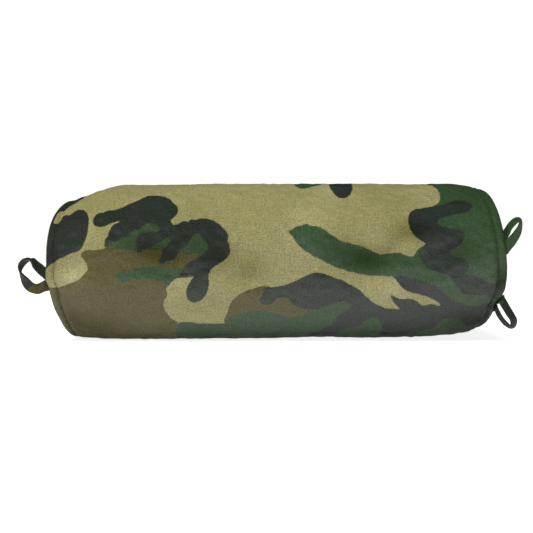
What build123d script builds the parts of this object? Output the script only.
"""Stuffed canvas training bumper with three fabric loops.

A rolled canvas tube, closed by a round panel at each end, over a closed-cell foam core with a fibre
wrap and a fibre pad behind each panel. Three flat folded fabric loops are caught in the rim seams,
one at the left end and two at the right end, and each swings about the line where it is sewn in.

Frame: millimetres, +X along the bumper towards the end with two loops, +Z up, -Y towards the side
with the loops. The origin is the centre of the flat that the bumper settles onto.
In the names, side is -1 for the left end (-X) and 1 for the right end (+X).
"""

from build123d import *
import math
import os

# ---------------------------------------------------------------- body dimensions
AXIS_H = 54.8  # height of the bumper's axis over its resting flat
CLOTH = 0.8  # canvas thickness
GAP = 0.15  # clearance between layers that lie on each other
RIM_X = 150.5  # half of the length from rim seam to rim seam
HEM_X = 143.5  # where the turned-in seam allowance ends
RIM_R = {-1: 49.5, 1: 50.0}  # outside radius at the left and right rim seams

# the tube's outside: distance along the axis and radius
PROFILE = [
    (-RIM_X, RIM_R[-1]),
    (-HEM_X, 51.3),
    (-134.0, 53.5),
    (-122.0, 55.2),
    (-100.0, 56.4),
    (-60.0, 56.9),
    (0.0, 56.5),
    (60.0, 56.2),
    (100.0, 56.2),
    (122.0, 55.3),
    (134.0, 53.9),
    (HEM_X, 51.7),
    (RIM_X, RIM_R[1]),
]

CAVITY_OVERRUN = 1.0  # how far the cavity cutter runs past each rim seam
CAVITY_TAPER = 0.24  # and how much its radius drops there
FLAT_CUTTER = (400, 200)  # length and width of the block that cuts the resting flats
FLAT_CUTTER_H = 40

# end panels: a dome, and a skirt turned in under the tube's allowance
DOME = 7.6  # how far a panel bulges past its rim
DOME_EDGE_IN = 0.3  # the dome's edge, in from the rim's radius
DOME_EDGE_OUT = 0.1  # the dome's edge, past the rim seam along the axis
DOME_MID_R = 25  # radius of the middle point of each dome arc
SKIRT_OUTER = 2 * CLOTH + GAP  # depth of the skirt's outer face under the tube's outside
SKIRT_INNER = 3 * CLOTH + GAP

# foam log
CORE_R, CORE_X = 37.0, 134.0  # radius and half length
CORE_CHAMFER = 2

# ---------------------------------------------------------------- stitching dimensions
THREAD_R = 0.3
FIT = 0.08  # clearance around ring threads and sewn-in tails
THREAD_W = 2 * THREAD_R
THREAD_GROOVE_W = THREAD_W + 2 * FIT
TOPSTITCH_X, RIM_STITCH_X = 145.0, 148.6

# long side seam, on the side away from the loops; its angles are worked out at one radius
SEAM_R = 56.0
SEAM_W = 11.0  # width of the lap
LAP_ROOT_R = 45  # radius inside the cover that the lap is built up from
SEAM_ROW = 3.4  # the stitch rows' distance from the lap's middle
HALF_LAP = math.degrees(SEAM_W / 2 / SEAM_R)
ROW_ANGLE = math.degrees(SEAM_ROW / SEAM_R)
ROW_GROOVE_HALF, ROW_THREAD_HALF = 0.38, 0.3  # half widths, degrees
ROW_GROOVE_TOP, ROW_GROOVE_DEPTH = 1, 0.3  # cut above and below the lap's surface
ROW_THREAD_PROUD = 0.22  # thread above the lap's surface, and the same below it
ROW_GROOVE_END, ROW_THREAD_END = 0.4, 0.5  # in from the rim seams

# hand stitches that close the filling gap: short bars across the lap's upper edge
CLOSING_X, CLOSING_PITCH, CLOSING_COUNT = 7.5, 5.0, 14
CLOSING_W = 0.8
CLOSING_TOP = CLOTH + 0.5  # height over the tube's outside
CLOSING_END = 7.4  # angle where the bars end, degrees
CLOSING_STEPS = [  # start angle, and height of the underside over the tube's outside
    (4.3, CLOTH + 0.06),
    (HALF_LAP + 0.12, 0.1),
]

# ---------------------------------------------------------------- loop dimensions
STRIP_W, STRIP_T = 7.6, 1.4  # folded strip that the loops are made of
STRIP_CORNER = 0.6
STRIP_EASE = 2.5  # path points over which the strip turns from facing the rim to its own run
RUN_STEP = 0.05  # half of the path step that gives the strip's direction
BEAD_R = 0.85  # rolled edge on which a loop turns
HINGE_ALONG, HINGE_OUT = 1.15, 0.5  # hinge line past the rim seam: along and away from the axis

STRIP_EDGE = 1.1  # edge stitching, in from the strip's edge
LOOP_STITCH, LOOP_PITCH = 1.7, 2.8  # a stitch's length, and stitch to stitch
LOOP_STITCH_W = 0.5
LOOP_STITCH_H = STRIP_T + 0.3
STITCH_FREE = 1.2  # path points left without stitches at each end
PATH_SAMPLES = 400  # steps in which the path's length is measured

TAIL_T, TAIL_X = 0.64, 144.9  # sewn-in tail: thickness and how far in it reaches
TAIL_DEPTH = 0.88  # depth of the tail's outer face under the tube's outside
TAIL_FACE = 0.08  # gap between the rim seam and the tail's upright part
TAIL_OFFSET = 0.2  # from a loop's middle to each of its two tails
TAIL_POCKET_REACH = STRIP_W + 0.45  # from a loop's middle to the pocket's end, along the rim

# Each loop is set at its angle from -Y towards +Z. Its path points are (along, up, out, turn):
# along leads away from the end, up runs along the rim on the hinge line, out leads away from the
# bumper's axis, all from the middle of the hinge line; turn is the strip's twist in degrees,
# 0 and 180 where its width lies flat with the loop and 90 where it stands on edge.
LOOPS = {
    "left": {
        "side": -1,
        "angle": -12.0,
        "path": [
            (0.0, 4.0, 0.0, 0),
            (3.4, 5.2, 0.1, 6),
            (6.8, 8.0, 0.4, 32),
            (10.6, 11.0, 0.6, 72),
            (14.6, 11.4, 0.4, 90),
            (17.6, 8.6, 0.1, 96),
            (17.6, 4.0, -0.2, 108),
            (15.4, -0.6, -0.5, 130),
            (12.0, -4.6, -0.5, 152),
            (8.0, -6.4, -0.3, 168),
            (4.0, -5.2, -0.1, 177),
            (0.0, -4.0, 0.0, 180),
        ],
    },
    "right_upper": {
        "side": 1,
        "angle": 15.0,
        "path": [
            (0.0, 4.0, 0.0, 0),
            (2.2, 4.8, 0.1, 4),
            (4.6, 7.4, 0.3, 24),
            (6.6, 10.8, 0.4, 58),
            (8.6, 13.6, 0.3, 84),
            (10.8, 13.6, 0.1, 94),
            (11.6, 10.4, 0.0, 98),
            (10.8, 6.2, -0.2, 110),
            (9.0, 2.0, -0.4, 134),
            (6.2, -1.6, -0.3, 158),
            (3.0, -3.6, -0.1, 175),
            (0.0, -4.0, 0.0, 180),
        ],
    },
    "right_lower": {
        "side": 1,
        "angle": -33.0,
        "path": [
            (0.0, 4.0, 0.0, 0),
            (2.8, 3.4, 0.1, 4),
            (5.8, 0.8, 0.3, 12),
            (8.4, -3.8, 0.4, 30),
            (10.2, -9.4, 0.4, 56),
            (11.0, -15.0, 0.3, 80),
            (10.2, -19.2, 0.1, 92),
            (7.6, -19.4, 0.0, 98),
            (6.2, -15.6, -0.1, 108),
            (5.4, -11.0, -0.1, 128),
            (4.2, -7.2, 0.0, 156),
            (2.2, -4.8, 0.0, 176),
            (0.0, -4.0, 0.0, 180),
        ],
    },
}


# ---------------------------------------------------------------- body geometry
AXIS_LINE = Axis((0, 0, AXIS_H), (1, 0, 0))


def radial_plane(angle):
    """Plane through the axis: local x along the bumper, local y the radius, from +Y towards +Z."""
    turn = math.radians(angle)
    return Plane(
        origin=(0, 0, AXIS_H), x_dir=(1, 0, 0), z_dir=(0, -math.sin(turn), math.cos(turn))
    )


SECTION = radial_plane(90)  # upright half plane in which the full rings are drawn


def tube_radius(x):
    """Outside radius of the tube at x."""
    for (x0, r0), (x1, r1) in zip(PROFILE, PROFILE[1:]):
        if x <= x1:
            return r0 + (r1 - r0) * (x - x0) / (x1 - x0)
    return PROFILE[-1][1]


def inset(depth, x0, x1):
    """The tube's outline between x0 and x1, moved in by depth."""
    inner = [x for x, _ in PROFILE if x0 < x < x1]
    return [(x, tube_radius(x) - depth) for x in [x0] + inner + [x1]]


def band(top, bottom, x0, x1):
    """Closed outline between two heights over the tube's outside."""
    return [*inset(-top, x0, x1), *reversed(inset(-bottom, x0, x1))]


def dome_x(side, radius, depth=0.0):
    """Where the end panel's dome, moved in by depth, passes a radius."""
    edge_r = RIM_R[side] - DOME_EDGE_IN
    rise = DOME - DOME_EDGE_OUT
    ball_r = (edge_r**2 + rise**2) / (2 * rise)
    return side * (RIM_X + DOME - ball_r + math.sqrt((ball_r - depth) ** 2 - radius**2))


def dome_arc_points(side, edge_r, depth):
    """Edge, middle and tip of the dome moved in by depth, with its edge on the dome's ball."""
    return [
        (dome_x(side, edge_r, depth), edge_r),
        (dome_x(side, DOME_MID_R, depth), DOME_MID_R),
        (side * (RIM_X + DOME - depth), 0),
    ]


def topstitch_spot(side):
    return side * TOPSTITCH_X, tube_radius(side * TOPSTITCH_X)


def rim_stitch_spot(side):
    """Between the tube's allowance and the panel's skirt."""
    return side * RIM_STITCH_X, tube_radius(side * RIM_STITCH_X) - 2 * CLOTH - GAP / 2


# ---------------------------------------------------------------- loop geometry
def loop_frame(loop):
    """Hinge point, and the unit vectors along, up and out, of one loop."""
    side, angle = loop["side"], math.radians(loop["angle"])
    along = Vector(side, 0, 0)
    out = Vector(0, -math.cos(angle), math.sin(angle))
    up = Vector(0, math.sin(angle), math.cos(angle))
    rim = Vector(0, 0, AXIS_H) + out * (RIM_R[side] + HINGE_OUT)
    return rim + along * (RIM_X + HINGE_ALONG), along, up, out


def curve_point(points, s):
    """Catmull-Rom curve through points, s from 0 to len(points) - 1."""
    i = min(int(s), len(points) - 2)
    f = s - i
    near = [points[max(0, min(len(points) - 1, i + k))] for k in (-1, 0, 1, 2)]
    return [
        0.5 * (
            2 * start
            + (end - before) * f
            + (2 * before - 5 * start + 4 * end - after) * f**2
            + (3 * start - before - 3 * end + after) * f**3
        )
        for before, start, end, after in zip(*near)
    ]


def strip_plane(loop, s):
    """Plane across the strip at s: local x along its width, local z along its run."""
    hinge, along, up, out = loop_frame(loop)
    points = loop["path"]
    last = len(points) - 1.0

    def place(at):
        a, u, o, _ = curve_point(points, max(0.0, min(last, at)))
        return hinge + along * a + up * u + out * o

    run = (place(s + RUN_STEP) - place(s - RUN_STEP)).normalized()
    # near the sewn ends the sections turn to face the rim, so the strip's edges stay in front of it
    free = min(1.0, s / STRIP_EASE, (last - s) / STRIP_EASE)
    away = 1 if s < last / 2 else -1
    run = (run * free + along * away * (1 - free)).normalized()
    flat = (out.cross(run) * loop["side"]).normalized()
    proud = (out - run * out.dot(run)).normalized()
    turn = math.radians(curve_point(points, s)[3])
    width_dir = flat * math.cos(turn) + proud * math.sin(turn)
    return Plane(origin=place(s), x_dir=width_dir, z_dir=run)


def strip_sections(loop):
    """The strip's section at every point of its path."""
    sections = []
    for s in range(len(loop["path"])):
        with BuildSketch(strip_plane(loop, s), mode=Mode.PRIVATE) as section:
            RectangleRounded(STRIP_W, STRIP_T, STRIP_CORNER)
        sections.append(section.sketch)
    return sections


def stitch_planes(loop):
    """Planes across the strip at its stitches, spaced evenly along its run."""
    last = len(loop["path"]) - 1
    samples = [last * k / PATH_SAMPLES for k in range(PATH_SAMPLES + 1)]
    spots = [Vector(*curve_point(loop["path"], s)[:3]) for s in samples]
    run, planes = 0.0, []
    for k in range(1, PATH_SAMPLES + 1):
        step = (spots[k] - spots[k - 1]).length
        stitch_due = int(run / LOOP_PITCH) != int((run + step) / LOOP_PITCH)
        if STITCH_FREE < samples[k] < last - STITCH_FREE and stitch_due:
            planes.append(strip_plane(loop, samples[k]))
        run += step
    return planes


def tail_outline(side, grow=0.0):
    """Section of a sewn-in tail, or of its pocket when grown.

    It stands up behind the tube's edge and reaches in under the tube's outer layer.
    """
    rim_r = RIM_R[side]
    slope = (tube_radius(side * TAIL_X) - rim_r) / (RIM_X - TAIL_X)
    top = rim_r - TAIL_DEPTH + grow
    low = rim_r - TAIL_DEPTH - TAIL_T - 2.2 * grow
    face = RIM_X + TAIL_FACE
    outer = face + TAIL_T + grow
    inner_x = TAIL_X - 2 * grow
    climb = slope * (RIM_X - inner_x)
    if grow:
        rise = [(outer, rim_r + 1.5), (RIM_X, rim_r + 1.5), (RIM_X, top)]
    else:
        rise = [(outer, rim_r - 0.4), (face, rim_r + 0.1), (face, top)]
    points = rise + [(inner_x, top + climb), (inner_x, low + climb), (RIM_X, low), (outer, low)]
    return [(side * x, y) for x, y in points]


def pocket_reach(side):
    """Half angle of a tail pocket."""
    return math.degrees(TAIL_POCKET_REACH / RIM_R[side])


# ---------------------------------------------------------------- cover
def make_cavity():
    """The space inside the cover, stepped where the allowances are turned in."""
    end_x = RIM_X + CAVITY_OVERRUN
    end_depth = 2 * CLOTH + CAVITY_TAPER
    with BuildPart() as cavity:
        with BuildSketch(SECTION):
            with BuildLine():
                Polyline(
                    *inset(CLOTH, -HEM_X, HEM_X),
                    *inset(2 * CLOTH, HEM_X, RIM_X),
                    (end_x, RIM_R[1] - end_depth),
                    (end_x, 0),
                    (-end_x, 0),
                    (-end_x, RIM_R[-1] - end_depth),
                    *inset(2 * CLOTH, -RIM_X, -HEM_X),
                    close=True,
                )
            make_face()
        revolve(axis=AXIS_LINE)
        with BuildSketch(Plane.XY.offset(CLOTH)):
            Rectangle(*FLAT_CUTTER)
        extrude(amount=-FLAT_CUTTER_H, mode=Mode.SUBTRACT)
    return cavity.part


def make_cover_tube():
    cavity = make_cavity()
    with BuildPart() as cover:
        with BuildSketch(SECTION):
            with BuildLine():
                Polyline(*PROFILE, (RIM_X, 0), (-RIM_X, 0), close=True)
            make_face()
        revolve(axis=AXIS_LINE)
        # lap of the long side seam
        with BuildSketch(radial_plane(-HALF_LAP)):
            with BuildLine():
                Polyline(
                    *inset(-CLOTH, -RIM_X, RIM_X),
                    (RIM_X, LAP_ROOT_R),
                    (-RIM_X, LAP_ROOT_R),
                    close=True,
                )
            make_face()
        revolve(axis=AXIS_LINE, revolution_arc=2 * HALF_LAP)
        # resting flat
        with BuildSketch(Plane.XY):
            Rectangle(*FLAT_CUTTER)
        extrude(amount=-FLAT_CUTTER_H, mode=Mode.SUBTRACT)
        add(cavity, mode=Mode.SUBTRACT)
        # grooves that the topstitch pulls into the cloth and that the rim stitching lies in
        for side in (-1, 1):
            with BuildSketch(SECTION):
                with Locations(topstitch_spot(side)):
                    Rectangle(THREAD_GROOVE_W, THREAD_GROOVE_W)
                with Locations(rim_stitch_spot(side)):
                    Rectangle(THREAD_GROOVE_W, THREAD_GROOVE_W)
            revolve(axis=AXIS_LINE, mode=Mode.SUBTRACT)
        # grooves for the two stitch rows of the side seam
        groove_x = RIM_X - ROW_GROOVE_END
        groove = band(CLOTH + ROW_GROOVE_TOP, CLOTH - ROW_GROOVE_DEPTH, -groove_x, groove_x)
        for row in (-1, 1):
            with BuildSketch(radial_plane(row * ROW_ANGLE - ROW_GROOVE_HALF)):
                with BuildLine():
                    Polyline(*groove, close=True)
                make_face()
            revolve(axis=AXIS_LINE, revolution_arc=2 * ROW_GROOVE_HALF, mode=Mode.SUBTRACT)
        # pockets in the turned-in allowance for the loops' tails
        for loop in LOOPS.values():
            reach = pocket_reach(loop["side"])
            with BuildSketch(radial_plane(180 - loop["angle"] - reach)):
                with BuildLine():
                    Polyline(*tail_outline(loop["side"], grow=FIT), close=True)
                make_face()
            revolve(axis=AXIS_LINE, revolution_arc=2 * reach, mode=Mode.SUBTRACT)
    return cover.part


def make_end_panel(side):
    """Domed cloth panel with its turned-in skirt."""
    hem_x, hem_r = side * HEM_X, tube_radius(side * HEM_X)
    edge_x = side * (RIM_X + DOME_EDGE_OUT)
    lining_points = dome_arc_points(side, RIM_R[side] - SKIRT_INNER, CLOTH)
    with BuildPart() as panel:
        with BuildSketch(SECTION):
            with BuildLine():
                dome = ThreePointArc(
                    (edge_x, RIM_R[side] - DOME_EDGE_IN),
                    (dome_x(side, DOME_MID_R), DOME_MID_R),
                    (side * (RIM_X + DOME), 0),
                )
                lining = ThreePointArc(*lining_points)
                Polyline(
                    dome @ 0,
                    (edge_x, RIM_R[side] - SKIRT_OUTER),
                    (hem_x, hem_r - SKIRT_OUTER),
                    (hem_x, hem_r - SKIRT_INNER),
                    lining @ 0,
                )
                Line(dome @ 1, lining @ 1)
            make_face()
        revolve(axis=AXIS_LINE)
        # groove for the rim stitching
        with BuildSketch(SECTION):
            with Locations(rim_stitch_spot(side)):
                Rectangle(THREAD_GROOVE_W, THREAD_GROOVE_W)
        revolve(axis=AXIS_LINE, mode=Mode.SUBTRACT)
        # pockets for the tails of this end's loops
        reach = pocket_reach(side)
        for loop in LOOPS.values():
            if loop["side"] == side:
                with BuildSketch(radial_plane(180 - loop["angle"] - reach)):
                    with BuildLine():
                        Polyline(*tail_outline(side, grow=FIT), close=True)
                    make_face()
                revolve(axis=AXIS_LINE, revolution_arc=2 * reach, mode=Mode.SUBTRACT)
    return panel.part


# ---------------------------------------------------------------- filling
def make_foam_core():
    with BuildPart() as core:
        with BuildSketch(SECTION):
            with BuildLine():
                Polyline(
                    (-CORE_X, 0),
                    (-CORE_X, CORE_R - CORE_CHAMFER),
                    (-CORE_X + CORE_CHAMFER, CORE_R),
                    (CORE_X - CORE_CHAMFER, CORE_R),
                    (CORE_X, CORE_R - CORE_CHAMFER),
                    (CORE_X, 0),
                    close=True,
                )
            make_face()
        revolve(axis=AXIS_LINE)
    return core.part


def make_fibre_wrap():
    """Sleeve between the foam core and the tube."""
    with BuildPart() as wrap:
        with BuildSketch(SECTION):
            with BuildLine():
                Polyline(
                    *inset(CLOTH + GAP, -CORE_X, CORE_X),
                    (CORE_X, CORE_R + GAP),
                    (-CORE_X, CORE_R + GAP),
                    close=True,
                )
            make_face()
        revolve(axis=AXIS_LINE)
        with BuildSketch(Plane.XY.offset(CLOTH + GAP)):
            Rectangle(*FLAT_CUTTER)
        extrude(amount=-FLAT_CUTTER_H, mode=Mode.SUBTRACT)
    return wrap.part


def make_fibre_pad(side):
    """Filling between the foam core's end and the end panel."""
    core_x, skirt_x = side * (CORE_X + GAP), side * (HEM_X - GAP)
    wall = inset(CLOTH + GAP, *sorted((core_x, skirt_x)))
    face_points = dome_arc_points(side, RIM_R[side] - SKIRT_INNER - GAP, CLOTH + GAP)
    with BuildPart() as pad:
        with BuildSketch(SECTION):
            with BuildLine():
                face = ThreePointArc(*face_points)
                Polyline(
                    face @ 0,
                    (skirt_x, tube_radius(side * HEM_X) - SKIRT_INNER - GAP),
                    *sorted(wall, key=lambda point: -abs(point[0])),
                    (core_x, 0),
                    face @ 1,
                )
            make_face()
        revolve(axis=AXIS_LINE)
        with BuildSketch(Plane.XY.offset(CLOTH + GAP)):
            Rectangle(*FLAT_CUTTER)
        extrude(amount=-FLAT_CUTTER_H, mode=Mode.SUBTRACT)
    return pad.part


# ---------------------------------------------------------------- stitching of the cover
def make_thread_ring(spot):
    """Square-section ring of thread around the axis, through spot (x, radius)."""
    with BuildPart() as ring:
        with BuildSketch(SECTION):
            with Locations(spot):
                Rectangle(THREAD_W, THREAD_W)
        revolve(axis=AXIS_LINE)
    return ring.part


def make_side_seam_stitches():
    end_x = RIM_X - ROW_THREAD_END
    outline = band(CLOTH + ROW_THREAD_PROUD, CLOTH - ROW_THREAD_PROUD, -end_x, end_x)
    with BuildPart() as stitches:
        for row in (-1, 1):
            with BuildSketch(radial_plane(row * ROW_ANGLE - ROW_THREAD_HALF)):
                with BuildLine():
                    Polyline(*outline, close=True)
                make_face()
            revolve(axis=AXIS_LINE, revolution_arc=2 * ROW_THREAD_HALF)
    return stitches.part


def make_closing_stitches():
    """Bars that lie on the lap and drop down past its upper edge."""
    middle = (CLOSING_COUNT - 1) / 2
    starts = [CLOSING_X + CLOSING_PITCH * (k - middle) for k in range(CLOSING_COUNT)]
    with BuildPart() as stitches:
        for start_angle, underside in CLOSING_STEPS:
            with BuildSketch(radial_plane(start_angle)):
                for x in starts:
                    with BuildLine():
                        Polyline(*band(CLOSING_TOP, underside, x, x + CLOSING_W), close=True)
                    make_face()
            revolve(axis=AXIS_LINE, revolution_arc=CLOSING_END - start_angle)
    return stitches.part


# ---------------------------------------------------------------- loops
def make_loop(loop):
    """Twisted strip with the bead on its hinge line, as long as the two tails."""
    hinge, along, up, _ = loop_frame(loop)
    half_bead = STRIP_W + TAIL_OFFSET
    with BuildPart() as strip:
        loft(strip_sections(loop))
        with BuildSketch(Plane(origin=hinge - up * half_bead, x_dir=along, z_dir=up)):
            Circle(BEAD_R)
        extrude(amount=2 * half_bead)
    return strip.part


def make_tails(loop):
    """The two sewn-in tails of a loop, side by side along the rim."""
    side = loop["side"]
    width = math.degrees(STRIP_W / RIM_R[side])
    offset = math.degrees(TAIL_OFFSET / RIM_R[side])
    with BuildPart() as tails:
        for start in (-offset - width, offset):
            with BuildSketch(radial_plane(180 - loop["angle"] + start)):
                with BuildLine():
                    Polyline(*tail_outline(side), close=True)
                make_face()
            revolve(axis=AXIS_LINE, revolution_arc=width)
        # groove for the rim stitching
        with BuildSketch(SECTION):
            with Locations(rim_stitch_spot(side)):
                Rectangle(THREAD_GROOVE_W, THREAD_GROOVE_W)
        revolve(axis=AXIS_LINE, mode=Mode.SUBTRACT)
    return tails.part


def make_edge_stitches(loop):
    """Each stitch passes through the strip and stands proud of both of its faces."""
    row = STRIP_W / 2 - STRIP_EDGE
    with BuildPart() as stitches:
        with BuildSketch(*stitch_planes(loop)):
            with Locations((row, 0), (-row, 0)):
                Rectangle(LOOP_STITCH_W, LOOP_STITCH_H)
        extrude(amount=LOOP_STITCH / 2, both=True)
    return stitches.part


# ---------------------------------------------------------------- build and write the pieces
pieces = {
    "cover_tube": make_cover_tube(),
    "foam_core": make_foam_core(),
    "fibre_wrap": make_fibre_wrap(),
    "side_seam_stitches": make_side_seam_stitches(),
    "closing_stitches": make_closing_stitches(),
}
for end, side in (("left", -1), ("right", 1)):
    pieces[f"end_panel_{end}"] = make_end_panel(side)
    pieces[f"fibre_pad_{end}"] = make_fibre_pad(side)
    pieces[f"topstitch_{end}"] = make_thread_ring(topstitch_spot(side))
    pieces[f"rim_stitches_{end}"] = make_thread_ring(rim_stitch_spot(side))
for name, loop in LOOPS.items():
    pieces[f"loop_{name}"] = make_loop(loop)
    pieces[f"loop_{name}_tails"] = make_tails(loop)
    pieces[f"loop_{name}_edge_stitches"] = make_edge_stitches(loop)

os.makedirs("parts", exist_ok=True)
for name, piece in pieces.items():
    piece.label = name
    export_step(piece, f"parts/{name}.step")
